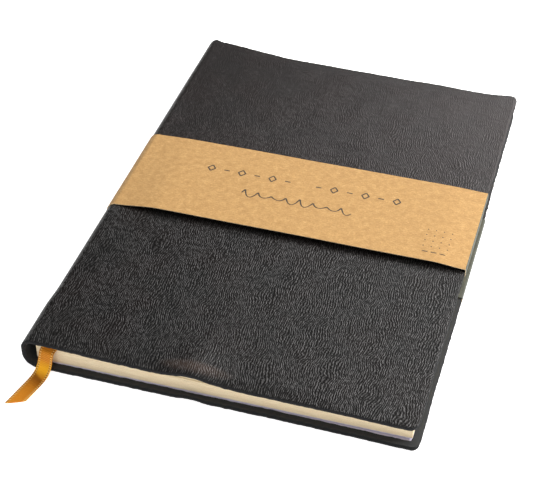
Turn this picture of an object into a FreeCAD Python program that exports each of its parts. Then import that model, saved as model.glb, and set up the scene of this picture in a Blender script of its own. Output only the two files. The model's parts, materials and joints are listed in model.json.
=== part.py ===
"""A5 soft leather journal, closed, with a paper wrap band and a marker ribbon.

Frame: +X from the spine to the fore edge, +Y from the tail to the head, +Z up.
The origin is under the middle of the journal, on the surface it lies on.
"""
import FreeCAD, Part
import math
import os
import re

import Sketcher
from FreeCAD import Placement, Rotation, Vector

os.makedirs("parts", exist_ok=True)
doc = FreeCAD.newDocument("journal")

# ---------------------------------------------------------------- dimensions (mm, degrees)
DIMENSIONS = {
    # the closed cover
    "half_width": 76.0,
    "half_height": 109.0,
    "spine_depth": 13.5,
    "fore_depth": 10.9,
    "upper_bend": 4.2,
    "lower_bend": 6.2,
    "corner_radius": 3.5,
    # layers, from the outer face of the leather inwards
    "leather_depth": 1.0,
    "card_depth": 1.4,
    "lining_depth": 1.7,
    "pastedown_depth": 1.9,
    "card_inset": 1.0,
    # hollow behind the sewn folds, as depths below the outer face of the spine
    "mull_depth": 4.60,
    "mull_thick": 0.30,
    "sewing_depth": 4.92,
    "sewing_thick": 0.28,
    "fold_depth": 5.25,
    "fold_round": 1.9,
    # where the front cover bends, and where the back cover starts
    "joint_edge": -72.5,
    "back_edge": -66.0,
    "split_level": 8.0,
    # pages
    "page_fore": 73.0,
    "page_half_height": 106.5,
    "endpaper": 0.2,
    "endpaper_edge": -68.5,
    "leaf_gap": 0.08,
    "ribbon_slot": 0.6,
    "ribbon_sink": 0.03,
    "cover_gap_spine": 0.1,
    "cover_gap_fore": 0.6,
    # wrap band
    "band_paper": 0.25,
    "band_air": 0.1,
    "band_low": -24.6,
    "band_high": 27.4,
    "band_skew": 3.1,
    "flap_edge": 41.0,
    "flap_air": 0.08,
    # sewing along the spine
    "tape_width": 10.0,
    "stitch_width": 0.5,
    "mull_inset": 4.0,
    "sewing_top": 9.8,
    "sewing_bottom": 4.6,
    # marker ribbon
    "ribbon_width": 6.3,
    "ribbon_thick": 0.3,
    "ribbon_centre": -62.3,
    "ribbon_start": -94.0,
    "ribbon_head": 100.0,
    "ribbon_lead": 12.9,
    # height of the tools that the sections are cut with, and how far they stand clear
    "tool_height": 30.0,
    "tool_margin": 1.0,
}
SIGNATURES = 10
FIXED_SIGNATURES = 8
TAPE_PLACES = (-62.0, 0.0, 62.0)
STITCH_PLACES = (-88.0, -70.0, -54.0, -8.0, 8.0, 54.0, 70.0, 88.0)
FOLD_ROUNDING = 0.42
LENGTH_TOLERANCE = 0.01

sheet = doc.addObject("Spreadsheet::Sheet", "Sizes")
for row, (word, value) in enumerate(DIMENSIONS.items(), start=1):
    sheet.set(f"A{row}", word)
    sheet.set(f"B{row}", str(value))
    sheet.setAlias(f"B{row}", word)
doc.recompute()


def bound(text):
    """Turn words such as half_width in a formula into references to the sheet."""
    def reference(match):
        word = match.group()
        return f"Sizes.{word}" if word in DIMENSIONS else word
    return re.sub(r"[a-z_]+", reference, str(text))


def number(text):
    """The value of such a formula now."""
    return float(sheet.evalExpression(bound(text)))


# ---------------------------------------------------------------- sketches and pads
def plane_of(body, role):
    return next(f for f in body.Origin.OriginFeatures if f.Role == role)


def new_sketch(body, role):
    sketch = body.newObject("Sketcher::SketchObject", f"{body.Name}_sketch")
    sketch.AttachmentSupport = [(plane_of(body, role), "")]
    sketch.MapMode = "FlatFace"
    return sketch


def pin(sketch, geometry, end, place):
    """Fix a point by its two distances from the sketch's origin."""
    for kind, formula in zip(("DistanceX", "DistanceY"), place):
        index = sketch.addConstraint(
            Sketcher.Constraint(kind, -1, 1, geometry, end, number(formula)))
        sketch.setExpression(f"Constraints[{index}]", bound(formula))


def draw_outline(sketch, corners):
    """Draw a closed outline with straight edges through corners (x formula, y formula)."""
    points = [Vector(number(x), number(y), 0) for x, y in corners]
    count = len(points)
    lines = [sketch.addGeometry(Part.LineSegment(points[i], points[(i + 1) % count]))
             for i in range(count)]
    for i, place in enumerate(corners):
        sketch.addConstraint(Sketcher.Constraint("Coincident", lines[i - 1], 2, lines[i], 1))
        pin(sketch, lines[i], 1, place)


def corner_edges(base, places, sketch):
    """Names of the edges square to the sketch that pass through these places."""
    normal = sketch.Placement.Rotation.multVec(Vector(0, 0, 1))
    names = []
    for index, edge in enumerate(base.Shape.Edges, start=1):
        first, last = edge.firstVertex().Point, edge.lastVertex().Point
        if (last - first).cross(normal).Length > LENGTH_TOLERANCE:
            continue
        if any((first - place).cross(normal).Length < LENGTH_TOLERANCE for place in places):
            names.append(f"Edge{index}")
    return names


def round_corners(body, sketch, pad, corners):
    """Fillet the corners that have a radius, the ones that share a radius together."""
    groups = {}
    for x, y, radius in corners:
        if radius is not None:
            groups.setdefault(radius, []).append(Vector(number(x), number(y), 0))
    base = pad
    for order, (radius, flat) in enumerate(groups.items()):
        doc.recompute()
        places = [sketch.Placement.multVec(point) for point in flat]
        fillet = body.newObject("PartDesign::Fillet", f"{body.Name}_round_{order}")
        fillet.Base = (base, corner_edges(base, places, sketch))
        fillet.setExpression("Radius", bound(radius))
        base = fillet


def prism(label, role, corners, length, midplane=True):
    """A body: an outline on one of its own origin planes, pushed out, with rounded corners."""
    body = doc.addObject("PartDesign::Body", label)
    body.Label = label
    sketch = new_sketch(body, role)
    draw_outline(sketch, [corner[:2] for corner in corners])
    pad = body.newObject("PartDesign::Pad", f"{label}_pad")
    pad.Profile = sketch
    pad.Midplane = midplane
    pad.setExpression("Length", bound(length))
    round_corners(body, sketch, pad, corners)
    return body


# ---------------------------------------------------------------- heights of the wedge
# The closed journal is thicker at the spine, because the sewn folds swell it.
BASE = "(band_air + band_paper)"
SLOPE = "((spine_depth - fore_depth) / (2 * half_width))"
COSINE = f"cos(atan({SLOPE}))"


def cover_top(x):
    """Height of the leather's upper face at a place across the cover."""
    return f"({BASE} + spine_depth - (({x}) + half_width) * {SLOPE})"


def below_top(x, depth):
    """Height of the face that lies this deep under the leather's upper face."""
    return f"{cover_top(x)} - ({depth}) / {COSINE}"


def block_bottom(x):
    rise = "(cover_gap_fore - cover_gap_spine)"
    return f"({BASE} + pastedown_depth + (({x}) + half_width) / (2 * half_width) * {rise})"


def block_top(x):
    rise = "(cover_gap_fore - cover_gap_spine)"
    gap = f"(cover_gap_spine + (({x}) + half_width) / (2 * half_width) * {rise})"
    return f"({cover_top(x)} - pastedown_depth - {gap})"


def signature_thickness(x):
    fixed = "(2 * endpaper + ribbon_slot + 2 * leaf_gap)"
    return f"(({block_top(x)} - {block_bottom(x)} - {fixed}) / {SIGNATURES})"


def signature_floor(order, x):
    """Height of the underside of a signature; 0 is the lowest."""
    extra = "endpaper"
    if order >= FIXED_SIGNATURES:
        extra += f" + ribbon_slot + {order - FIXED_SIGNATURES} * leaf_gap"
    return f"({block_bottom(x)} + {extra} + {order} * {signature_thickness(x)})"


def fold_edge(level):
    """How far towards the spine a fold at this height reaches, in the rounded back."""
    radius = number("fold_round")
    back = "-half_width + fold_depth"
    upper_centre = number(block_top(back)) - radius
    lower_centre = number(block_bottom(back)) + radius
    away = max(level - upper_centre, lower_centre - level, 0.0)
    return number(back) + radius - math.sqrt(radius ** 2 - away ** 2)


# ---------------------------------------------------------------- cover layers
def wrap(label, outer, inner, length):
    """One layer that runs along the back cover, round the spine and over the front cover.

    outer and inner are depths below the outer face of the leather.
    """
    fore = "half_width"

    def spine(depth):
        return f"-half_width + ({depth})"

    def floor(depth):
        return f"{BASE} + ({depth})"

    corners = [
        (fore, floor(outer), None),
        (fore, floor(inner), None),
        (spine(inner), floor(inner), f"lower_bend - ({inner})"),
        (spine(inner), below_top(spine(inner), inner), f"upper_bend - ({inner})"),
        (fore, below_top(fore, inner), None),
        (fore, below_top(fore, outer), None),
        (spine(outer), below_top(spine(outer), outer), f"upper_bend - ({outer})"),
        (spine(outer), floor(outer), f"lower_bend - ({outer})"),
    ]
    return prism(label, "XZ_Plane", corners, length)


def tool(label, corners, above):
    """An upright prism above or below the level that parts the front from the back."""
    body = prism(label, "XY_Plane", corners, "tool_height", midplane=False)
    level = "split_level" if above else "split_level - tool_height"
    body.setExpression("Placement.Base.z", bound(level))
    return body


def cover_tool(label, edge, inset, above):
    """The outline of a cover layer, rounded at its two fore corners."""
    radius = "corner_radius"
    fore = f"half_width - ({inset})"
    side = f"half_height - ({inset})"
    corners = [
        (edge, f"-({side})", None),
        (fore, f"-({side})", radius),
        (fore, side, radius),
        (edge, side, None),
    ]
    return tool(label, corners, above)


def page_tool(label, edge, above):
    corners = [
        (edge, "-page_half_height", None),
        ("page_fore", "-page_half_height", None),
        ("page_fore", "page_half_height", None),
        (edge, "page_half_height", None),
    ]
    return tool(label, corners, above)


def common(label, base, cutter):
    piece = doc.addObject("Part::MultiCommon", label)
    piece.Label = label
    piece.Shapes = [base, cutter]
    return piece


def spine_tool(label, low, high):
    """The region of the spine between two places along it: upper part and bottom lip."""
    outer = "-half_width - tool_margin"

    def square(edge):
        return [(outer, low, None), (edge, low, None), (edge, high, None), (outer, high, None)]

    group = doc.addObject("Part::MultiFuse", label)
    group.Shapes = [tool(f"{label}_upper", square("joint_edge"), True),
                    tool(f"{label}_lower", square("back_edge"), False)]
    return group


def make_cover():
    """The leather, stiffening card and lining of both covers, and of the spine."""
    front = cover_tool("front_tool", "joint_edge", "0", True)
    back = cover_tool("back_tool", "back_edge", "0", False)
    front_card = cover_tool("front_card_tool", "joint_edge + 2 * card_inset", "card_inset", True)
    back_card = cover_tool("back_card_tool", "back_edge", "card_inset", False)
    full = "2 * half_height"
    leather = wrap("leather_layer", "0", "leather_depth", full)
    card = wrap("card_layer", "leather_depth", "card_depth", f"{full} - 2 * card_inset")
    lining = wrap("lining_layer", "card_depth", "lining_depth", full)
    spine = spine_tool("spine_tool", "-half_height", "half_height")
    return [
        common("front_cover_leather", leather, front),
        common("front_cover_card", card, front_card),
        common("front_cover_lining", lining, front),
        common("spine_leather", leather, spine),
        common("spine_card", card, spine),
        common("spine_lining", lining, spine),
        common("back_cover_leather", leather, back),
        common("back_cover_card", card, back_card),
        common("back_cover_lining", lining, back),
    ]


def make_pastedowns():
    layer = wrap("pastedown_layer", "lining_depth", "pastedown_depth", "2 * half_height")
    front = page_tool("front_paste_tool", "endpaper_edge", True)
    back = page_tool("back_paste_tool", "endpaper_edge", False)
    return [common("front_pastedown", layer, front), common("rear_pastedown", layer, back)]


# ---------------------------------------------------------------- sewn spine
def strip(label, depth, thickness, place, width):
    """A flat strip up the back of the folds, centred at a place along the spine."""
    slab = doc.addObject("Part::Box", label)
    slab.Label = label
    slab.setExpression("Length", bound(thickness))
    slab.setExpression("Width", bound(width))
    slab.setExpression("Height", bound("sewing_top - sewing_bottom"))
    slab.setExpression("Placement.Base.x", bound(f"-half_width + {depth}"))
    slab.setExpression("Placement.Base.y", bound(f"{place} - ({width}) / 2"))
    slab.setExpression("Placement.Base.z", bound("sewing_bottom"))
    return slab


def strips(label, places, width):
    """Equal strips of sewing side by side, as one piece."""
    group = doc.addObject("Part::MultiFuse", label)
    group.Label = label
    group.Shapes = [strip(f"{label}_{i}", "sewing_depth", "sewing_thick", place, width)
                    for i, place in enumerate(places)]
    return group


def make_sewing():
    """Gauze over the folds, the tapes under it and the stitches beside the tapes."""
    gauze_length = "2 * (page_half_height - mull_inset)"
    return [
        strip("spine_mull", "mull_depth", "mull_thick", 0.0, gauze_length),
        strips("sewing_tapes", TAPE_PLACES, "tape_width"),
        strips("sewing_stitches", STITCH_PLACES, "stitch_width"),
    ]


# ---------------------------------------------------------------- pages
def make_signature(order):
    """One folded section of leaves: thick and round at its fold, thin at the fore edge."""
    label = f"signature_{order + 1:02d}"
    middle = f"{signature_floor(order, 'joint_edge')} + {signature_thickness('joint_edge')} / 2"
    fold = f"{fold_edge(number(middle)):.3f}"
    rounding = f"{FOLD_ROUNDING} * {signature_thickness(fold)}"
    fore = "page_fore"

    def ceiling(x):
        return f"{signature_floor(order, x)} + {signature_thickness(x)}"

    corners = [
        (fold, signature_floor(order, fold), rounding),
        (fore, signature_floor(order, fore), None),
        (fore, ceiling(fore), None),
        (fold, ceiling(fold), rounding),
    ]
    return prism(label, "XZ_Plane", corners, "2 * page_half_height")


def make_flyleaf(label, height):
    corners = [
        ("endpaper_edge", height("endpaper_edge"), None),
        ("page_fore", height("page_fore"), None),
        ("page_fore", f"{height('page_fore')} + endpaper", None),
        ("endpaper_edge", f"{height('endpaper_edge')} + endpaper", None),
    ]
    return prism(label, "XZ_Plane", corners, "2 * page_half_height")


def make_pages():
    pages = [make_signature(order) for order in range(SIGNATURES)]
    pages.append(make_flyleaf("rear_flyleaf", block_bottom))
    pages.append(make_flyleaf("front_flyleaf", lambda x: f"({block_top(x)} - endpaper)"))
    return pages


# ---------------------------------------------------------------- wrap band
def make_band():
    """A strip of kraft paper round the journal, its ends folded in at both fore edges."""
    outside = "(band_air + band_paper)"
    fold = "half_width + band_air"
    edge = f"half_width + {outside}"
    flap_outer = "(pastedown_depth + flap_air)"
    flap_inner = "(pastedown_depth + flap_air + band_paper)"

    corners = [
        ("flap_edge", below_top("flap_edge", flap_outer), None),
        (fold, below_top(fold, flap_outer), None),
        (fold, below_top(fold, "-band_air"), None),
        (f"-({fold})", below_top(f"-({fold})", "-band_air"), "upper_bend + band_air"),
        (f"-({fold})", "band_paper", "lower_bend + band_air"),
        (fold, "band_paper", None),
        (fold, f"{BASE} + {flap_outer}", None),
        ("flap_edge", f"{BASE} + {flap_outer}", None),
        ("flap_edge", f"{BASE} + {flap_inner}", None),
        (edge, f"{BASE} + {flap_inner}", None),
        (edge, "0", None),
        (f"-({edge})", "0", f"lower_bend + {outside}"),
        (f"-({edge})", below_top(f"-({edge})", f"-{outside}"), f"upper_bend + {outside}"),
        (edge, below_top(edge, f"-{outside}"), None),
        (edge, below_top(edge, flap_inner), None),
        ("flap_edge", below_top("flap_edge", flap_inner), None),
    ]
    layer = prism("band_layer", "XZ_Plane", corners, "2 * half_height")

    far = "half_width + tool_margin"
    square = [("back_edge", "band_low", None), (far, "band_low", None),
              (far, "band_high", None), ("back_edge", "band_high", None)]
    skewed = [("joint_edge", "band_low", None), (far, "band_low + band_skew", None),
              (far, "band_high + band_skew", None), ("joint_edge", "band_high", None)]
    front = tool("band_front_tool", skewed, True)
    back = tool("band_back_tool", square, False)
    spine = spine_tool("band_spine_tool", "band_low", "band_high")
    return [
        common("band_front", layer, front),
        common("band_spine", layer, spine),
        common("band_back", layer, back),
    ]


# ---------------------------------------------------------------- marker ribbon
# Corners of the ribbon's free end, seen from its edge: distance out from the point where it
# starts between the pages, and height above the surface that the journal lies on. It comes
# out level, droops over the tail edge and then lies on the surface.
RIBBON_SLOT_MIDDLE = f"{signature_floor(FIXED_SIGNATURES, 'ribbon_centre')} - ribbon_slot / 2"
RIBBON_LEVEL = f"({RIBBON_SLOT_MIDDLE} - ribbon_sink)"
RIBBON_ROUTE = [
    ("0", RIBBON_LEVEL),
    ("7.0", f"{RIBBON_LEVEL} - 0.03"),
    ("14.2", RIBBON_LEVEL),
    ("15.3", "7.60"),
    ("16.3", "4.00"),
    ("18.4", "1.35"),
    ("21.8", "0.25"),
    ("28.2", "0.30"),
    ("36.4", "0.25"),
]
ARC_SHARE = 0.45


def route_points():
    return [Vector(number(out), number(height), 0) for out, height in RIBBON_ROUTE]


def route_radii(points):
    """Each corner gets the largest arc that a fixed share of its shorter run leaves room for."""
    radii = [None]
    for before, corner, after in zip(points, points[1:], points[2:]):
        run = min(before.distanceToPoint(corner), corner.distanceToPoint(after))
        turn = (corner - before).getAngle(after - corner)
        radii.append(ARC_SHARE * run / math.tan(turn / 2))
    radii.append(None)
    return radii


def corner_cut(corner, before, after, radius):
    """Where an arc of this radius leaves the two runs that meet at a corner, and its centre."""
    to_before = (before - corner).normalize()
    to_after = (after - corner).normalize()
    half = to_before.getAngle(to_after) / 2
    reach = radius / math.tan(half)
    centre = corner + (to_before + to_after).normalize() * (radius / math.sin(half))
    return corner + to_before * reach, corner + to_after * reach, centre


def arc_between(first, last, centre):
    middle = (first + last) * 0.5 - centre
    top = centre + middle.normalize() * first.distanceToPoint(centre)
    return Part.Arc(first, top, last)


def draw_route(sketch, points, radii):
    """Straight runs joined by tangent arcs, in the sketch's own plane; returns the length."""
    length = 0.0
    start = points[0]
    for i in range(1, len(points)):
        end, leave, centre = points[i], None, None
        if radii[i] is not None:
            end, leave, centre = corner_cut(points[i], points[i - 1], points[i + 1], radii[i])
        sketch.addGeometry(Part.LineSegment(start, end))
        length += start.distanceToPoint(end)
        if leave is not None:
            bend = arc_between(end, leave, centre)
            sketch.addGeometry(bend)
            length += bend.length()
            start = leave
    for index in range(len(sketch.Geometry)):
        sketch.addConstraint(Sketcher.Constraint("Block", index))
    return length


def make_ribbon_tail():
    """The free end: a flat strip along a route in one upright plane."""
    body = doc.addObject("PartDesign::Body", "ribbon_tail")
    body.Label = "ribbon_tail"
    points = route_points()
    radii = route_radii(points)
    route = new_sketch(body, "XZ_Plane")
    length = draw_route(route, points, radii)
    section = new_sketch(body, "YZ_Plane")
    low = f"{RIBBON_LEVEL} - ribbon_thick / 2"
    high = f"{RIBBON_LEVEL} + ribbon_thick / 2"
    left, right = "-ribbon_width / 2", "ribbon_width / 2"
    draw_outline(section, [(left, low), (right, low), (right, high), (left, high)])
    pipe = body.newObject("PartDesign::AdditivePipe", "ribbon_tail_pipe")
    pipe.Profile = section
    pipe.Spine = route
    pipe.Transition = "Transformed"
    body.Placement = Placement(
        Vector(number("ribbon_centre"), number("ribbon_start"), 0),
        Rotation(Vector(0, 0, 1), -90 - number("ribbon_lead")))
    doc.recompute()
    volume = length * number("ribbon_width * ribbon_thick")
    print("ribbon length", round(length, 2), "volume", round(body.Shape.Volume, 2),
          "section times length", round(volume, 2))
    return body


def make_ribbon():
    """The marker ribbon: the stretch between the pages, and the free end at the tail."""
    left = "ribbon_centre - ribbon_width / 2"
    right = "ribbon_centre + ribbon_width / 2"

    def level(x, side):
        middle = f"({signature_floor(FIXED_SIGNATURES, x)} - ribbon_slot / 2 - ribbon_sink)"
        return f"{middle} + {side} * ribbon_thick / 2"

    corners = [(left, level(left, -1), None), (right, level(right, -1), None),
               (right, level(right, 1), None), (left, level(left, 1), None)]
    inside = prism("ribbon_inside", "XZ_Plane", corners, "ribbon_head - ribbon_start")
    inside.setExpression("Placement.Base.y", bound("(ribbon_head + ribbon_start) / 2"))
    return [inside, make_ribbon_tail()]


# ---------------------------------------------------------------- build, check, write
def check_objects():
    for thing in doc.Objects:
        if "Invalid" in thing.State or "Error" in thing.State:
            raise RuntimeError(f"{thing.Name} is {thing.State}")


def write(pieces):
    for piece in pieces:
        shape = piece.Shape
        if shape.isNull() or not shape.isValid() or not shape.Solids:
            raise RuntimeError(f"{piece.Label} has no valid solid")
        shape.exportStep(f"parts/{piece.Label}.step")
        box = shape.BoundBox
        low = [round(value, 2) for value in (box.XMin, box.YMin, box.ZMin)]
        high = [round(value, 2) for value in (box.XMax, box.YMax, box.ZMax)]
        print(piece.Label, len(shape.Solids), round(shape.Volume, 1), low, high)


pieces = make_cover() + make_pastedowns() + make_sewing() + make_pages() + make_band()
pieces += make_ribbon()
doc.recompute()
check_objects()
write(pieces)
print(len(pieces), "pieces")
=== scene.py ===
import json
import math
import random

import bmesh
import bpy
import numpy as np
from mathutils import Matrix, Vector, noise


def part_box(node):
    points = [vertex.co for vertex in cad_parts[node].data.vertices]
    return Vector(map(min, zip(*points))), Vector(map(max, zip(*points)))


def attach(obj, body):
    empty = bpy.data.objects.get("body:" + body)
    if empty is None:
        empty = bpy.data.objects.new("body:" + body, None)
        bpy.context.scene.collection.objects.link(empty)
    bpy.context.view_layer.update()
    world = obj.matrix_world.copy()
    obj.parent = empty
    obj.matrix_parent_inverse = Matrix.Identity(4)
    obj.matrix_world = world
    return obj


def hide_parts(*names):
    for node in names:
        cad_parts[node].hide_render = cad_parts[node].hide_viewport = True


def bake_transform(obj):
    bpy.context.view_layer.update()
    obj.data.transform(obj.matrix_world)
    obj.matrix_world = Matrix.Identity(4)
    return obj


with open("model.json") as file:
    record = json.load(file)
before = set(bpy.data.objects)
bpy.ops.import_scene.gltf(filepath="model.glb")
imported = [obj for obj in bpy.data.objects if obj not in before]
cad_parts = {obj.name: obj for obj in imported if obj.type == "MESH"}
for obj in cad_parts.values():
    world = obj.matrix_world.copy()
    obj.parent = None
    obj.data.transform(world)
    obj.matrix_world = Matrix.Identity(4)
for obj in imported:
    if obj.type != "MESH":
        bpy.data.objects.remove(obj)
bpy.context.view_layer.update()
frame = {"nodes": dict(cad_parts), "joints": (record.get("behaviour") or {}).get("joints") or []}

MM = 0.001
random.seed(7)

# ---------------------------------------------------------------- sizes from the frame
front_low, front_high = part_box("front_cover_leather")
back_low, back_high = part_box("back_cover_leather")
band_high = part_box("band_front")[1]
page_low, page_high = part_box("signature_05")
joint = next(j for j in frame["joints"] if j["name"] == "cover_open")
JOINT_X = joint["pos_m"][0]

HALF_WIDTH = front_high.x
HALF_HEIGHT = front_high.y
BASE = back_low.z
HIDE = back_high.z - back_low.z
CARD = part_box("back_cover_card")[1].z - BASE
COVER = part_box("back_cover_lining")[1].z - BASE
PASTED = COVER + 0.2 * MM
LOWER_BEND = 6.2 * MM
UPPER_BEND = 4.2 * MM
FORE_TOP = front_low.z + HIDE
SLOPE = (front_high.z - FORE_TOP) / (HALF_WIDTH - front_low.x)
SPLIT_Z = 8.0 * MM
CORNER = 3.5 * MM
BACK_CORNER = 2.6 * MM
PAPER = 0.25 * MM
AIR = 0.1 * MM


def cover_top(x):
    """Height of the leather's upper face."""
    return FORE_TOP + SLOPE * (HALF_WIDTH - x)


def smooth(value, low, high):
    t = min(max((value - low) / (high - low), 0.0), 1.0)
    return t * t * (3 - 2 * t)


# ---------------------------------------------------------------- outlines
def rounded_path(corners, step, bend_step):
    """Points, outward normals and running length along corners (x, z, radius), seen along +Y."""
    points = []
    for i, (x, z, radius) in enumerate(corners):
        here = Vector((x, z))
        if radius == 0:
            points.append(here)
            continue
        before = Vector(corners[i - 1][:2]) - here
        after = Vector(corners[i + 1][:2]) - here
        half = before.angle(after) / 2
        reach = radius / math.tan(half)
        centre = here + (before.normalized() + after.normalized()).normalized() * (
            radius / math.sin(half))
        first = here + before.normalized() * reach - centre
        last = here + after.normalized() * reach - centre
        turn = first.angle_signed(last)
        count = max(4, int(abs(turn) * radius / bend_step))
        for k in range(count + 1):
            points.append(centre + Matrix.Rotation(-turn * k / count, 2) @ first)
    dense = [points[0]]
    for a, b in zip(points, points[1:]):
        count = max(1, int((b - a).length / step))
        dense += [a.lerp(b, (k + 1) / count) for k in range(count)]
    flat = np.array([tuple(p) for p in dense])
    along = np.gradient(flat, axis=0)
    along /= np.linalg.norm(along, axis=1)[:, None]
    normals = np.stack([-along[:, 1], along[:, 0]], axis=1)
    lengths = np.concatenate([[0], np.cumsum(np.linalg.norm(np.diff(flat, axis=0), axis=1))])
    return flat, normals, lengths


def split_at_spine(path):
    """The path's back half and front half, which meet half way up the spine."""
    flat, normals, lengths = path
    spine = np.abs(flat[:, 0] - flat[:, 0].min()) < 0.2 * MM
    cut = int(np.argmin(np.where(spine, np.abs(flat[:, 1] - SPLIT_Z), 1.0)))
    back = (flat[:cut + 1], normals[:cut + 1], lengths[:cut + 1])
    return back, (flat[cut:], normals[cut:], lengths[cut:])


def rows(half, step, fine):
    """Places from -half to half, closer together near both ends."""
    inner = half - sum(fine)
    count = int(2 * inner / step)
    middle = [-inner + 2 * inner * k / count for k in range(count + 1)]
    outer = [inner + sum(fine[:k + 1]) for k in range(len(fine))]
    return np.array([-v for v in reversed(outer)] + middle + outer)


COVER_PATH = rounded_path([
    (HALF_WIDTH, BASE, 0),
    (-HALF_WIDTH, BASE, LOWER_BEND),
    (-HALF_WIDTH, cover_top(-HALF_WIDTH), UPPER_BEND),
    (HALF_WIDTH, cover_top(HALF_WIDTH), 0),
], 1.1 * MM, 0.6 * MM)
BACK_HALF, FRONT_HALF = split_at_spine(COVER_PATH)


# ---------------------------------------------------------------- mesh making
class Shell:
    """Closed slabs gathered into one mesh: faces 0 outside, 1 inside, 2 cut edges."""

    def __init__(self):
        self.points, self.uvs, self.faces, self.kinds = [], [], [], []

    def add(self, outer, inner, uv, edge_rows=0, bulge=0.0, kinds=(0, 1, 2), seam=None):
        """outer and inner are grids of points, with one place (u, v) on the sheet for each.

        seam is the first or last line of the grid (0 or -1) where another slab goes on; its
        edge stays square.
        """
        start = len(self.points)
        nu, nv = outer.shape[:2]
        square = None if seam is None else seam % nu
        for grid in (outer, inner):
            self.points += [tuple(p) for p in grid.reshape(-1, 3)]
            self.uvs += [tuple(p) for p in uv.reshape(-1, 2)]
        top = start + np.arange(nu * nv).reshape(nu, nv)
        under = top + nu * nv
        for grid, kind, flip in ((top, kinds[0], False), (under, kinds[1], True)):
            for i in range(nu - 1):
                for j in range(nv - 1):
                    quad = [grid[i, j], grid[i + 1, j], grid[i + 1, j + 1], grid[i, j + 1]]
                    self.faces.append(quad[::-1] if flip else quad)
                    self.kinds.append(kind)
        loop = ([(i, 0) for i in range(nu)] + [(nu - 1, j) for j in range(1, nv)]
                + [(i, nv - 1) for i in range(nu - 2, -1, -1)]
                + [(0, j) for j in range(nv - 2, 0, -1)])
        rings = [[top[i, j] for i, j in loop]]
        for row in range(1, edge_rows + 1):
            share = row / (edge_rows + 1)
            ring = []
            for i, j in loop:
                a, b = outer[i, j], inner[i, j]
                inside = outer[min(max(i, 1), nu - 2), min(max(j, 1), nv - 2)]
                out = a - inside
                out -= (b - a) * (out @ (b - a)) / ((b - a) @ (b - a))
                out /= max(np.linalg.norm(out), 1e-9)
                height = 0.0 if i == square else bulge * math.sin(math.pi * share)
                place = a + (b - a) * share + out * height
                ring.append(len(self.points))
                self.points.append(tuple(place))
                self.uvs.append((uv[i, j][0] + share * 0.3 * MM, uv[i, j][1] + share * MM))
            rings.append(ring)
        rings.append([under[i, j] for i, j in loop])
        count = len(loop)
        for a, b in zip(rings, rings[1:]):
            for k in range(count):
                n = (k + 1) % count
                self.faces.append([a[n], a[k], b[k], b[n]])
                self.kinds.append(kinds[2])

    def build(self, name, materials):
        mesh = bpy.data.meshes.new(name)
        mesh.from_pydata(self.points, [], [[int(v) for v in f] for f in self.faces])
        layer = mesh.uv_layers.new(name="sheet")
        corners = np.zeros(len(mesh.loops), np.int32)
        mesh.loops.foreach_get("vertex_index", corners)
        layer.data.foreach_set("uv", np.array(self.uvs, np.float32)[corners].ravel())
        for material in materials:
            mesh.materials.append(material)
        mesh.polygons.foreach_set("material_index", np.array(self.kinds, np.int32))
        mesh.polygons.foreach_set("use_smooth", np.ones(len(mesh.polygons), bool))
        mesh.update()
        mesh.validate()
        thing = bpy.data.objects.new(name, mesh)
        bpy.context.scene.collection.objects.link(thing)
        return thing


def face_outwards(thing):
    """Turn the whole mesh's faces outwards."""
    work = bmesh.new()
    work.from_mesh(thing.data)
    bmesh.ops.recalc_face_normals(work, faces=work.faces)
    work.to_mesh(thing.data)
    work.free()
    thing.data.set_sharp_from_angle(angle=math.radians(70))
    return thing


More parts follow.
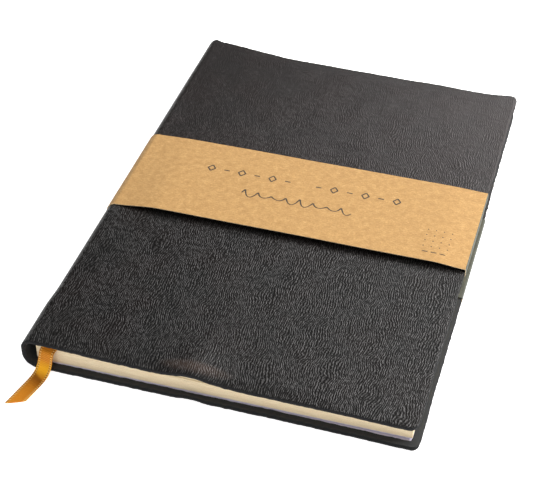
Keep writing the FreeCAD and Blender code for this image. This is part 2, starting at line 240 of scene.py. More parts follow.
# ---------------------------------------------------------------- node materials
class Nodes:
    """A small helper that writes a node material."""

    def __init__(self, name):
        self.material = bpy.data.materials.new(name)
        self.material.use_nodes = True
        self.tree = self.material.node_tree
        self.shader = self.tree.nodes["Principled BSDF"]

    def node(self, kind, **settings):
        made = self.tree.nodes.new(kind)
        for key, value in settings.items():
            if key in made.inputs:
                self.feed(made.inputs[key], value)
            elif key.startswith("in_"):
                self.feed(made.inputs[int(key[3:])], value)
            else:
                setattr(made, key, value)
        return made

    def feed(self, socket, value):
        if isinstance(value, bpy.types.NodeSocket):
            self.tree.links.new(value, socket)
        else:
            socket.default_value = value

    def sheet_place(self):
        """Place on the sheet, in millimetres."""
        uv = self.node("ShaderNodeUVMap", uv_map="sheet").outputs[0]
        return self.scaled(uv, (1000, 1000, 1))

    def object_place(self, scale=(1000, 1000, 1000)):
        """Place in the piece, in millimetres unless another scale is given."""
        place = self.node("ShaderNodeTexCoord").outputs["Object"]
        return self.scaled(place, scale)

    def scaled(self, vector, scale):
        return self.node("ShaderNodeMapping", Vector=vector, Scale=scale).outputs[0]

    def noise(self, vector, scale, detail=3.0, roughness=0.55, distortion=0.0):
        return self.node("ShaderNodeTexNoise", Vector=vector, Scale=scale, Detail=detail,
                         Roughness=roughness, Distortion=distortion).outputs[0]

    def cells(self, vector, scale):
        return self.node("ShaderNodeTexVoronoi", Vector=vector, Scale=scale).outputs["Distance"]

    def remap(self, value, low, high, new_low=0.0, new_high=1.0):
        return self.node("ShaderNodeMapRange", Value=value, in_1=low, in_2=high,
                         in_3=new_low, in_4=new_high).outputs[0]

    def mix(self, share, a, b):
        made = self.node("ShaderNodeMix", data_type="RGBA")
        self.feed(made.inputs[0], share)
        self.feed(made.inputs[6], a)
        self.feed(made.inputs[7], b)
        return made.outputs[2]

    def math(self, operation, a, b=0.0, c=0.0):
        return self.node("ShaderNodeMath", operation=operation, in_0=a, in_1=b,
                         in_2=c).outputs[0]

    def axis(self, vector, index):
        return self.node("ShaderNodeSeparateXYZ", in_0=vector).outputs[index]

    def bump(self, height, distance, strength=1.0, normal=None):
        made = self.node("ShaderNodeBump", Height=height, Distance=distance, Strength=strength)
        if normal is not None:
            self.feed(made.inputs["Normal"], normal)
        return made.outputs[0]

    def finish(self, color, roughness, normal=None, **fixed):
        self.feed(self.shader.inputs["Base Color"], color)
        self.feed(self.shader.inputs["Roughness"], roughness)
        if normal is not None:
            self.feed(self.shader.inputs["Normal"], normal)
        for key, value in fixed.items():
            self.shader.inputs[key.replace("_", " ")].default_value = value
        return self.material


def rgb(r, g, b):
    return (r, g, b, 1.0)


# Where the tail edges of the covers have their bump; the front cover carries a painted highlight
# there.
BUMP_PLACE_X = -9 * MM
GRAIN_SCALE = 0.375
GRAIN_FULL = COVER_PATH[2][-1] / MM
GRAIN_FLAT = GRAIN_FULL - 2 * HALF_WIDTH / MM


def leather_material():
    """Black leather: fine winding ridges about a millimetre apart, with painted light: brighter
    towards the fore edge and the head, warmer reflections towards the head, and a painted
    highlight over the bump in the tail edge.
    """
    m = Nodes("black_leather")
    place = m.sheet_place()
    drift = m.node("ShaderNodeTexNoise", Vector=place, Scale=0.06, Detail=2.0).outputs["Color"]
    flow = m.node("ShaderNodeVectorMath", operation="MULTIPLY_ADD", in_0=drift,
                  in_1=(9.0, 0.0, 0.0), in_2=place).outputs[0]
    worms = m.node("ShaderNodeTexWave", bands_direction="X", Vector=flow, Scale=GRAIN_SCALE,
                   Distortion=4.0, Detail=1.0, in_4=2.2, in_5=0.5).outputs[1]
    broken = m.remap(m.noise(m.scaled(place, (1.0, 0.6, 1.0)), 0.9, 1.0), 0.36, 0.58, 0.35, 1.0)
    fine = m.noise(place, 4.0, 3.0)
    region = m.noise(place, 0.05, 3.0)
    height = m.math("MULTIPLY", worms, broken)
    peaks = m.math("POWER", height, 1.6)
    # depth sets both the grain's bump and its painted light-and-shade contrast.
    depth = m.math("MULTIPLY", m.remap(region, 0.3, 0.7, 0.66, 0.92), grain_depth_and_shading(m, place))
    swing = m.math("SUBTRACT", peaks, 0.33)
    # Painted light: the crests grow lighter towards the fore edge and towards the head, where the
    # light falls brightest.
    painted_light_level = m.math("ADD", m.remap(m.axis(place, 0), GRAIN_FLAT, GRAIN_FULL, 0.18, 0.235),
                   m.remap(m.axis(place, 1), -20.0, 40.0, 0.0, 0.05))
    crest_and_painted_light = m.math("MULTIPLY_ADD", swing, depth, painted_light_level)
    color = m.mix(crest_and_painted_light, rgb(0.0015, 0.0015, 0.0015), rgb(0.054, 0.050, 0.048))
    warm = m.remap(region, 0.38, 0.62, 0.0, 0.35)
    color = m.mix(warm, color, rgb(0.014, 0.0095, 0.0085))
    # Painted highlight: a warm brown oval over the bump in the tail edge.
    painted_bump_highlight = m.math("MULTIPLY", bump_highlight_patch(m, place), m.remap(fine, 0.30, 0.62, 0.25, 1.0))
    color = m.mix(painted_bump_highlight, color, rgb(0.085, 0.058, 0.046))
    rough = m.remap(fine, 0.2, 0.8, 0.38, 0.50)
    # The specular level follows the crests, so the painted light also brightens the reflections.
    m.feed(m.shader.inputs["Specular IOR Level"], m.remap(crest_and_painted_light, 0.0, 1.0, 0.18, 0.95))
    # Painted reflection: the specular tint turns warmer and browner towards the head.
    painted_warm_reflection = m.remap(m.axis(place, 1), -20.0, 40.0)
    m.feed(m.shader.inputs["Specular Tint"],
           m.mix(painted_warm_reflection, rgb(1.0, 0.98, 0.97), rgb(1.0, 0.88, 0.87)))
    normal = m.bump(m.math("MULTIPLY", height, depth), 0.20 * MM)
    normal = m.bump(m.noise(place, 0.10, 2.0), 0.9 * MM, 0.35, normal)
    return m.finish(color, rough, normal)


def grain_depth_and_shading(m, place):
    """The grain's bump depth and its painted light-and-shade contrast: weakest towards the head
    and strongest at the tail fore corner, following how the light falls.
    """
    along = m.remap(m.axis(place, 1), 85.0, -35.0, 0.26, 0.80)
    return m.math("MULTIPLY", along, m.remap(m.axis(place, 0), GRAIN_FLAT, GRAIN_FULL, 0.8, 1.3))


def bump_highlight_patch(m, place):
    """Painted highlight: a soft warm oval just inside the tail edge of the front cover, over its
    bump.
    """
    middle = ((COVER_PATH[2][-1] - HALF_WIDTH + BUMP_PLACE_X) / MM + 1.0, -HALF_HEIGHT / MM + 4.2)
    along = m.math("SUBTRACT", m.axis(place, 0), middle[0])
    across = m.math("SUBTRACT", m.axis(place, 1), middle[1])
    oval = m.math("ADD", m.math("POWER", m.math("DIVIDE", along, 15.0), 2.0),
                  m.math("POWER", m.math("DIVIDE", across, 3.3), 2.0))
    return m.remap(oval, 1.0, 0.0, 0.0, 0.68)


def cut_edge_material():
    """The raw cut edge of the hide: darker, rough and fibrous."""
    m = Nodes("cut_leather_edge")
    place = m.object_place()
    fibre = m.noise(m.scaled(place, (1.0, 1.0, 3.0)), 2.4, 4.0, 0.7)
    color = m.mix(m.remap(fibre, 0.3, 0.75), rgb(0.005, 0.005, 0.006), rgb(0.017, 0.018, 0.019))
    return m.finish(color, 0.75, m.bump(fibre, 0.25 * MM, 0.8), Specular_IOR_Level=0.2)


def lining_material():
    m = Nodes("black_lining")
    place = m.object_place()
    grain = m.noise(place, 3.0, 4.0, 0.6)
    color = m.mix(m.remap(grain, 0.3, 0.7), rgb(0.025, 0.026, 0.027), rgb(0.045, 0.047, 0.048))
    return m.finish(color, m.remap(grain, 0.3, 0.7, 0.55, 0.72), m.bump(grain, 0.08 * MM, 0.5),
                    Specular_IOR_Level=0.18)


def board_material():
    m = Nodes("grey_board")
    place = m.object_place()
    speck = m.noise(place, 1.6, 5.0, 0.7)
    color = m.mix(m.remap(speck, 0.35, 0.65), rgb(0.24, 0.22, 0.19), rgb(0.40, 0.37, 0.33))
    return m.finish(color, 0.9, m.bump(speck, 0.05 * MM, 0.4))


DOT_PITCH = 5.0
PICOT_PITCH = 0.95
# Painted highlight: where the ribbon's lit golden stretch is centred along its length.
HIGHLIGHT_RUN = 22.0
# Painted shade: where the shade at the ribbon's bend onto the floor begins.
BEND_SHADE_RUN = 25.3


def page_material():
    """Cream paper with a faint printed grid of dots."""
    m = Nodes("cream_page")
    place = m.sheet_place()
    cloud = m.noise(place, 0.9, 5.0, 0.7)
    color = m.mix(m.remap(cloud, 0.3, 0.7), rgb(0.84, 0.73, 0.52), rgb(0.90, 0.80, 0.60))
    cell = m.node("ShaderNodeVectorMath", operation="WRAP", in_0=place,
                  in_1=(DOT_PITCH / 2, DOT_PITCH / 2, 1.0),
                  in_2=(-DOT_PITCH / 2, -DOT_PITCH / 2, -1.0)).outputs[0]
    away = m.node("ShaderNodeVectorMath", operation="LENGTH", in_0=cell).outputs["Value"]
    dot = m.remap(away, 0.30, 0.20)
    color = m.mix(dot, color, rgb(0.38, 0.34, 0.30))
    return m.finish(color, 0.88, m.bump(cloud, 0.02 * MM, 0.4))


def page_edge_material():
    """Cut edges of the leaves: cream with soft cloudy shade."""
    m = Nodes("cream_page_edges")
    place = m.object_place()
    line = m.noise(m.scaled(place, (0.12, 0.12, 9.0)), 1.0, 3.0, 0.6)
    cloud = m.noise(m.scaled(place, (0.14, 0.14, 0.5)), 1.0, 3.0, 0.6)
    color = m.mix(m.remap(line, 0.3, 0.7), rgb(0.70, 0.57, 0.37), rgb(0.88, 0.76, 0.55))
    color = m.mix(m.remap(cloud, 0.35, 0.7, 0.0, 0.5), color, rgb(0.72, 0.55, 0.36))
    return m.finish(color, 0.9, m.bump(line, 0.05 * MM, 0.5))


def endpaper_material():
    m = Nodes("lavender_endpaper")
    place = m.object_place()
    cloud = m.noise(place, 0.8, 5.0, 0.7)
    color = m.mix(m.remap(cloud, 0.3, 0.7), rgb(0.66, 0.61, 0.72), rgb(0.76, 0.71, 0.82))
    return m.finish(color, 0.85, m.bump(cloud, 0.02 * MM, 0.4))


def kraft_material():
    """Uncoated kraft paper: warm brown with cloudy formation, fibres and dark specks."""
    m = Nodes("kraft_paper")
    place = m.sheet_place()
    cloud = m.noise(place, 0.32, 4.0, 0.65)
    speckle = m.noise(place, 1.5, 3.0, 0.7)
    fibres = m.noise(m.scaled(place, (0.5, 2.6, 1.0)), 1.0, 3.0, 0.6, 0.6)
    flecks = m.cells(place, 0.55)
    color = m.mix(m.remap(cloud, 0.3, 0.7), rgb(0.430, 0.232, 0.070), rgb(0.62, 0.362, 0.127))
    color = m.mix(m.remap(speckle, 0.38, 0.66, 0.0, 0.65), color, rgb(0.37, 0.192, 0.056))
    color = m.mix(m.remap(fibres, 0.52, 0.70, 0.0, 0.50), color, rgb(0.74, 0.48, 0.20))
    color = m.mix(m.remap(flecks, 0.12, 0.06, 0.0, 0.50), color, rgb(0.25, 0.13, 0.045))
    normal = m.bump(m.math("ADD", cloud, fibres), 0.05 * MM, 0.4)
    return m.finish(color, 0.78, normal, Sheen_Weight=0.08, Sheen_Roughness=0.5)


def shaded_kraft_material():
    """The same paper with painted shade: dark grey-olive where it turns round the fore edges and
    on the back flap.
    """
    m = Nodes("kraft_painted_shade")
    cloud = m.noise(m.object_place(), 0.6, 4.0, 0.65)
    color = m.mix(m.remap(cloud, 0.3, 0.7), rgb(0.040, 0.045, 0.033), rgb(0.072, 0.077, 0.056))
    return m.finish(color, 0.7, m.bump(cloud, 0.04 * MM, 0.4))


def kraft_edge_material():
    m = Nodes("kraft_cut_edge")
    place = m.object_place()
    fibre = m.noise(place, 2.5, 3.0)
    color = m.mix(m.remap(fibre, 0.3, 0.7), rgb(0.70, 0.52, 0.30), rgb(0.88, 0.70, 0.46))
    return m.finish(color, 0.85, m.bump(fibre, 0.05 * MM, 0.4))


def ink_material():
    m = Nodes("dark_ink")
    place = m.object_place()
    uneven = m.noise(place, 2.2, 3.0)
    color = m.mix(m.remap(uneven, 0.35, 0.7), rgb(0.04, 0.028, 0.018), rgb(0.085, 0.058, 0.036))
    return m.finish(color, 0.7, m.bump(uneven, 0.01 * MM, 0.3))


def satin_material():
    """Golden satin ribbon: fine cross ribs and looped edges, a painted highlight on its hanging
    part and painted shade at its bend onto the floor.
    """
    m = Nodes("golden_satin")
    place = m.sheet_place()
    across, run = m.axis(place, 0), m.axis(place, 1)
    ribs = m.node("ShaderNodeTexWave", wave_type="BANDS", bands_direction="DIAGONAL",
                  Vector=place, Scale=0.62, Distortion=0.8, Detail=2.0).outputs[1]
    yarn = m.noise(m.scaled(place, (0.5, 4.0, 1.0)), 1.0, 3.0, 0.6)
    color = m.mix(m.remap(ribs, 0.2, 0.8), rgb(0.60, 0.200, 0.014), rgb(0.76, 0.290, 0.022))
    color = m.mix(m.remap(yarn, 0.35, 0.7, 0.0, 0.4), color, rgb(0.42, 0.120, 0.008))
    # Painted highlight: a bright golden stretch where the ribbon hangs facing the light.
    painted_highlight = m.remap(m.math("ABSOLUTE", m.math("SUBTRACT", run, HIGHLIGHT_RUN)), 4.0, 0.5)
    color = m.mix(painted_highlight, color, rgb(1.0, 0.48, 0.022))
    # Painted shade: darker where the ribbon bends down onto the floor, slanted across its width.
    slanted = m.math("MULTIPLY_ADD", across, -0.45, run)
    painted_bend_shade = m.math("MULTIPLY", m.remap(slanted, BEND_SHADE_RUN - 0.6, BEND_SHADE_RUN + 0.4),
                    m.remap(slanted, BEND_SHADE_RUN + 5.0, BEND_SHADE_RUN + 1.2))
    color = m.mix(m.math("MULTIPLY", painted_bend_shade, 0.75), color, rgb(0.27, 0.080, 0.006))
    wide = m.math("ABSOLUTE", across)
    edge = m.math("MULTIPLY", m.remap(wide, 2.05, 2.30), m.remap(wide, 2.95, 2.75))
    loop = m.remap(m.math("SINE", m.math("MULTIPLY", run, 2 * math.pi / PICOT_PITCH)), -0.3, 0.5)
    dots = m.mix(loop, rgb(0.30, 0.085, 0.005), rgb(1.0, 0.66, 0.20))
    color = m.mix(m.math("MULTIPLY", edge, 0.8), color, dots)
    normal = m.bump(m.math("MULTIPLY_ADD", yarn, 0.5, ribs), 0.10 * MM, 0.5)
    return m.finish(color, m.remap(yarn, 0.3, 0.7, 0.38, 0.55), normal,
                    Specular_IOR_Level=0.25, Specular_Tint=rgb(1.0, 0.72, 0.35), Anisotropic=0.4)


def cloth_material(name, light, dark, scale):
    """Plain woven cotton."""
    m = Nodes(name)
    place = m.object_place()
    across = m.node("ShaderNodeTexWave", bands_direction="Y", Vector=place,
                    Scale=scale).outputs[1]
    upright = m.node("ShaderNodeTexWave", bands_direction="Z", Vector=place,
                     Scale=scale).outputs[1]
    weave = m.math("MULTIPLY", across, upright)
    color = m.mix(weave, dark, light)
    return m.finish(color, 0.9, m.bump(weave, 0.08 * MM, 0.7))


def floor_material():
    m = Nodes("pale_floor")
    place = m.object_place((1, 1, 1))
    cloud = m.noise(place, 3.0, 2.0)
    color = m.mix(m.remap(cloud, 0.3, 0.7), rgb(0.90, 0.90, 0.90), rgb(0.92, 0.92, 0.92))
    m.shader.inputs["Emission Color"].default_value = rgb(1.0, 1.0, 1.0)
    return m.finish(color, 0.9, Emission_Strength=0.85)


LEATHER = leather_material()
CUT_EDGE = cut_edge_material()
LINING = lining_material()
BOARD = board_material()
PAGE = page_material()
PAGE_EDGE = page_edge_material()
ENDPAPER = endpaper_material()
KRAFT = kraft_material()
KRAFT_EDGE = kraft_edge_material()
KRAFT_SHADE = shaded_kraft_material()
INK = ink_material()
SATIN = satin_material()
GAUZE = cloth_material("glued_gauze", rgb(0.72, 0.68, 0.55), rgb(0.42, 0.38, 0.28), 0.9)
TAPE = cloth_material("cotton_tape", rgb(0.82, 0.78, 0.68), rgb(0.60, 0.56, 0.46), 2.0)
THREAD = cloth_material("linen_thread", rgb(0.86, 0.82, 0.72), rgb(0.62, 0.57, 0.46), 5.0)


# ---------------------------------------------------------------- cover
def unevenness(x, y, scale):
    return noise.noise(Vector((x / scale, y / scale, 1.7)))


def front_lift(x, y):
    """How far the soft front cover stands off a flat panel, and the bump in its tail edge."""
    loose = smooth(x, -70 * MM, -40 * MM)
    wave = 0.12 * MM * (1 + unevenness(x, y, 38 * MM)) * loose
    tail = math.exp(-((y + HALF_HEIGHT) / (13 * MM)) ** 2)
    head = smooth(y, 98 * MM, HALF_HEIGHT)
    ripple = 0.18 * MM * (1 + unevenness(x, y, 17 * MM)) * max(tail, head) * loose
    bump = 1.9 * MM * math.exp(-((x - BUMP_PLACE_X) / (8 * MM)) ** 2)
    lip = math.exp(-((y + HALF_HEIGHT) / (2.4 * MM)) ** 2)
    middle = smooth(x, -68 * MM, -45 * MM) * (1 - smooth(x, 20 * MM, 50 * MM))
    dip = (0.5 * math.cos(math.pi * x / (150 * MM)) + 0.45 * middle) * MM * loose
    droop = 0.8 * MM * math.cos(math.pi * x / (170 * MM)) * loose
    return wave + ripple + bump * tail - dip * lip - droop * head * head


def head_outline(x):
    """How far the head edge of the front cover swings in or out."""
    fore = 0.2 * smooth(x, 30 * MM, 60 * MM) - 0.45 * smooth(x, 62 * MM, 76 * MM)
    corner = 1.1 * math.exp(-((x + 71.9 * MM) / (2.6 * MM)) ** 2)
    return (1.7 + corner - 3.8 * smooth(x, -74 * MM, -26 * MM) * (1 + fore)) * MM


def tail_outline(x):
    """How far the tail edges of both covers stand out."""
    return (0.4 + 0.55 * smooth(x, 30 * MM, 70 * MM)) * MM


def back_lift(x, y):
    """The back cover lies flat but for a slight rise in its tail edge."""
    bump = math.exp(-((x - BUMP_PLACE_X) / (4.5 * MM)) ** 2)
    return 0.9 * MM * bump * smooth(-y, HALF_HEIGHT - 2 * MM, HALF_HEIGHT)


def nick(x, y):
    """Unevenness of the cut outline."""
    rough = noise.noise(Vector((x / (1.7 * MM), y / (1.7 * MM), 4.2)))
    slow = noise.noise(Vector((x / (14 * MM), y / (14 * MM), 8.1)))
    return 0.28 * MM * rough + 0.18 * MM * slow


def plan_place(x, y, fore, half, radius, swing):
    """Round a sheet's fore corners, roughen its outline a little and swing its head edge."""
    side = 1 if y > 0 else -1
    a = max(0.0, (x - (fore - radius)) / radius)
    b = max(0.0, (abs(y) - (half - radius)) / radius)
    if a > 0 and b > 0:
        scale = max(a, b) / math.hypot(a, b)
        x = fore - radius + a * scale * radius
        y = side * (half - radius + b * scale * radius)
    near_fore = smooth(x, fore - 2.5 * MM, fore)
    near_side = smooth(abs(y), half - 2.5 * MM, half)
    moved = swing * smooth(y, 90 * MM, HALF_HEIGHT)
    moved -= tail_outline(x) * smooth(-y, 95 * MM, HALF_HEIGHT)
    return x + near_fore * nick(x, y), y + side * near_side * nick(y, x) + moved


EDGE_ROWS = [0.4 * MM, 0.6 * MM, 0.8 * MM]


def drawn_in(x, y):
    """The limp spine is pulled in towards the leaves, evenly wherever the band can slide."""
    depth = 0.65 + 0.65 * smooth(y, -88 * MM, -75 * MM)
    return depth * MM * smooth(-x, 66 * MM, 75 * MM)


def front_fore(y):
    """How much narrower than its full width the front cover is cut; least at the head."""
    return (0.95 - 0.60 * smooth(y, 15 * MM, 50 * MM)) * MM


def back_fore(y):
    """How much narrower than its full width the back cover is cut; most at the head."""
    return (0.3 + 0.75 * smooth(y, -5 * MM, 60 * MM)) * MM


def layer_grid(path, half, fore, radius, depth, lift, rim_depth):
    """A grid of points at a depth under the leather's face."""
    flat, normals, _ = path
    places = rows(half, 1.5 * MM, EDGE_ROWS)
    grid = np.zeros((len(flat), len(places), 3))
    for i, ((px, pz), (nx, nz)) in enumerate(zip(flat, normals)):
        for j, y in enumerate(places):
            x = min(px, fore)
            swing = head_outline(x)
            if lift is back_lift:
                swing = head_outline(-HALF_WIDTH) * smooth(-x, 60 * MM, 74 * MM)
            x, yy = plan_place(x, y, fore, half, radius, swing)
            rim = max(smooth(abs(y), half - 1.4 * MM, half - 0.6 * MM),
                      smooth(px, fore - 1.6 * MM, fore - 0.6 * MM))
            d = depth + (rim_depth - depth) * rim
            narrower = back_fore(y) if lift is back_lift else front_fore(y)
            x -= narrower * smooth(x, 40 * MM, HALF_WIDTH)
            grid[i, j] = (x - nx * d + drawn_in(px, y), yy, pz - nz * d + lift(x, y))
    return grid


def trim(path, fore, low=None):
    """The path without what lies beyond a fore edge, or before a place on the spine side."""
    flat, normals, lengths = path
    keep = flat[:, 0] <= fore + 0.8 * MM
    if low is not None:
        keep &= flat[:, 0] >= low
    flat = flat[keep].copy()
    flat[:, 0] = np.minimum(flat[:, 0], fore)
    return flat, normals[keep], lengths[keep]


def make_layer(name, path, depths, inset, materials, lift, edge_rows, bulge,
               rim_depths=None, low=None, half=None, fore=None, radius=CORNER):
    """One sheet of a cover half between two depths under the leather's face."""
    half = (half or HALF_HEIGHT) - inset
    fore = (fore or HALF_WIDTH) - inset
    seam = 0 if path is FRONT_HALF else -1
    path = trim(path, fore, low)
    rims = rim_depths or depths
    outer = layer_grid(path, half, fore, radius, depths[0], lift, rims[0])
    inner = layer_grid(path, half, fore, radius, depths[1], lift, rims[1])
    places = rows(half, 1.5 * MM, EDGE_ROWS)
    uv = np.zeros(outer.shape[:2] + (2,))
    uv[:, :, 0] = path[2][:, None]
    uv[:, :, 1] = places[None, :]
    shell = Shell()
    shell.add(outer, inner, uv, edge_rows, bulge, seam=seam)
    return face_outwards(shell.build(name, materials))


def make_cover_half(side, path, lift, radius, riders):
    """Hide, stiffening card and lining of one half of the cover."""
    hide = make_layer(f"{side}_hide", path, (0.0, HIDE), 0.0, [LEATHER, LINING, CUT_EDGE],
                      lift, 3, 0.25 * MM, (0.0, CARD - 0.02 * MM), radius=radius)
    card = make_layer(f"{side}_stiffener", path, (HIDE + 0.02 * MM, CARD - 0.02 * MM),
                      1.6 * MM, [BOARD] * 3, lift, 0, 0.0)
    lining = make_layer(f"{side}_inner_lining", path, (CARD, COVER), 0.12 * MM,
                        [LINING, LINING, CUT_EDGE], lift, 1, 0.05 * MM,
                        radius=radius)
    for piece, nodes in zip((hide, card, lining), riders):
        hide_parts(*nodes)
    return hide, card, lining


back_pieces = make_cover_half("back_cover", BACK_HALF, back_lift, BACK_CORNER, (
    ("back_cover_leather", "spine_leather"),
    ("back_cover_card", "spine_card"),
    ("back_cover_lining", "spine_lining")))
for piece in back_pieces:
    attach(piece, "book")

front_pieces = make_cover_half("front_cover", FRONT_HALF, front_lift, CORNER, (
    ("front_cover_leather",), ("front_cover_card",), ("front_cover_lining",)))
for piece in front_pieces:
    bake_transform(piece)


# ---------------------------------------------------------------- endpapers
paste_low, paste_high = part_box("front_pastedown")
front_paste = make_layer("front_paste_sheet", FRONT_HALF, (COVER + 0.01 * MM, PASTED), 0.0,
                         [ENDPAPER] * 3, front_lift, 0, 0.0, low=paste_low.x,
                         half=paste_high.y, fore=paste_high.x, radius=0.5 * MM)
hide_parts("front_pastedown")
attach(front_paste, "front_cover")
rear_paste = make_layer("rear_paste_sheet", BACK_HALF, (COVER + 0.01 * MM, PASTED), 0.0,
                        [ENDPAPER] * 3, back_lift, 0, 0.0, low=paste_low.x,
                        half=paste_high.y - 0.2 * MM, fore=paste_high.x, radius=0.5 * MM)
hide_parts("rear_pastedown")
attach(rear_paste, "book")
for node in ("front_flyleaf", "rear_flyleaf"):
    frame["nodes"][node].data.materials.clear()
    frame["nodes"][node].data.materials.append(ENDPAPER)


# ---------------------------------------------------------------- sewn leaves
SHEETS = 4
LEAF_GAP = 0.035
TURNING = {"signature_09": "leaves_09", "signature_10": "leaves_10"}
BEND_PLACES = [0.5, 1, 1.5, 2, 2.5, 3, 3.5, 4, 4.5, 5, 6, 7, 8, 9, 10, 12, 14]


def section_lines(node):
    """The wedge of a signature: its fold edge, fore edge and the heights of both faces."""
    co = np.array([tuple(v.co) for v in frame["nodes"][node].data.vertices])
    fold, fore = co[:, 0].min(), co[:, 0].max()
    near = co[co[:, 0] < fold + 1.5 * MM]
    far = co[co[:, 0] > fore - 0.1 * MM]
    left = near[near[:, 2].argmax(), 0]
    return fold, fore, left, near[:, 2].min(), near[:, 2].max(), far[:, 2].min(), far[:, 2].max()


def folded_sheet(lines, order, half, x_places):
    """Outer and inner outline of one folded sheet, from its lower leaf round to its upper."""
    fold, fore, left, low_near, high_near, low_far, high_far = lines
    thick = high_near - low_near
    centre = fold + thick / 2

    def height(x, share):
        t = (x - left) / (fore - left)
        low = low_near + (low_far - low_near) * t
        high = high_near + (high_far - high_near) * t
        return low + (high - low) * share

    def outline(share):
        lower = [(x, height(x, share)) for x in reversed(x_places)]
        upper = [(x, height(x, 1 - share)) for x in x_places]
        radius = thick * (0.5 - share)
        middle = height(centre, 0.5)
        bend = [(centre - radius * math.sin(a), middle - radius * math.cos(a))
                for a in np.linspace(0, math.pi, 9)]
        return lower + bend[1:-1] + upper

    step = 0.5 / SHEETS
    outer = outline(order * step + LEAF_GAP * step)
    inner = outline((order + 1) * step - LEAF_GAP * step)
    return np.array(outer), np.array(inner)


def make_signature(node):
    lines = section_lines(node)
    fold, fore = lines[0], lines[1]
    centre = fold + (lines[4] - lines[3]) / 2
    bend = [centre + place * MM for place in BEND_PLACES] if node in TURNING else []
    x_places = [centre] + bend + [centre + (fore - centre) * 0.5, fore]
    shell = Shell()
    for order in range(SHEETS):
        outer, inner = folded_sheet(lines, order, page_high.y, x_places)
        grids = []
        low = page_low.y + random.uniform(0.0, 0.10) * MM
        high = page_high.y - random.uniform(0.0, 0.10) * MM
        trimmed = random.uniform(0.0, 0.10) * MM
        for flat in (outer, inner):
            grid = np.zeros((len(flat), 3, 3))
            for j, y in enumerate((low, (low + high) / 2, high)):
                grid[:, j] = [(min(x, fore - trimmed), y, z) for x, z in flat]
            grids.append(grid)
        run = np.concatenate([[0], np.cumsum(np.linalg.norm(np.diff(outer, axis=0), axis=1))])
        uv = np.zeros(grids[0].shape[:2] + (2,))
        uv[:, :, 0] = (run - run[-1] / 2)[:, None]
        uv[:, :, 1] = [low, (low + high) / 2, high]
        shell.add(grids[0], grids[1], uv)
    piece = face_outwards(shell.build(f"{node}_leaves", [PAGE, PAGE, PAGE_EDGE]))
    piece.data.polygons.foreach_set("use_smooth", np.zeros(len(piece.data.polygons), bool))
    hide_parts(node)
    if node in TURNING:
        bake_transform(piece)
    else:
        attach(piece, "book")


for number in range(1, 11):
    make_signature(f"signature_{number:02d}")


# ---------------------------------------------------------------- wrap band
CENTRE_LINE = AIR + PAPER / 2
FLAP_LOW, FLAP_HIGH = 41 * MM, HALF_WIDTH + CENTRE_LINE
FLAP_DEPTH = PASTED + 0.08 * MM + PAPER / 2
FOLD = 0.35 * MM
BAND_PATH = rounded_path([
    (FLAP_LOW, BASE + FLAP_DEPTH, 0),
    (FLAP_HIGH, BASE + FLAP_DEPTH, FOLD),
    (FLAP_HIGH, BASE - CENTRE_LINE, FOLD),
    (-HALF_WIDTH - CENTRE_LINE, BASE - CENTRE_LINE, LOWER_BEND + CENTRE_LINE),
    (-HALF_WIDTH - CENTRE_LINE, cover_top(-HALF_WIDTH) + CENTRE_LINE, UPPER_BEND + CENTRE_LINE),
    (FLAP_HIGH, cover_top(FLAP_HIGH) + CENTRE_LINE, FOLD),
    (FLAP_HIGH, cover_top(FLAP_HIGH) - FLAP_DEPTH, FOLD),
    (FLAP_LOW, cover_top(FLAP_LOW) - FLAP_DEPTH, 0),
], 2.0 * MM, 0.15 * MM)
BAND_BACK, BAND_FRONT = split_at_spine(BAND_PATH)
STRIP_LOW, STRIP_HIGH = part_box("band_back")[0].y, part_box("band_back")[1].y
SKEW = band_high.y - STRIP_HIGH
BAND_ROWS = 27
TAIL_LIFT, HEAD_LIFT = 1.9 * MM, 0.7 * MM
BAND_FORE = 0.80 * MM
BAND_BACK_FORE = 0.30 * MM
BACK_SKEW = -2.5 * MM
SPINE_SKEW = 1.1 * MM


def band_lift(x, share):
    """How far the loose paper stands off; share runs from its tail edge to its head edge."""
    rise = smooth(x, -73 * MM, -52 * MM) * (1 - 0.5 * smooth(x, 62 * MM, 76 * MM))
    slack = TAIL_LIFT + (HEAD_LIFT - TAIL_LIFT) * share
    flutter = 0.15 * MM * noise.noise(Vector((x / (30 * MM), share, 0.3)))
    return rise * (slack + flutter)


def band_point(x, z, nx, nz, share, offset, front):
    """A point of the strip; offset is outwards from its middle."""
    fore_skew = SKEW if front else BACK_SKEW
    skew = SPINE_SKEW + (fore_skew - SPINE_SKEW) * smooth_line(x, JOINT_X, FLAP_HIGH)
    y = STRIP_LOW + (STRIP_HIGH - STRIP_LOW) * share + skew
    up = front_lift(min(x, HALF_WIDTH), y) if front else 0.0
    if front and nz > 0.5:
        up += band_lift(x, share)
    narrower = BAND_FORE if front else BAND_BACK_FORE
    inwards = drawn_in(x, y) - narrower * smooth(x, 40 * MM, HALF_WIDTH)
    return (x + nx * offset + inwards, y, z + nz * offset + up)


def smooth_line(value, low, high):
    return min(max((value - low) / (high - low), 0.0), 1.0)


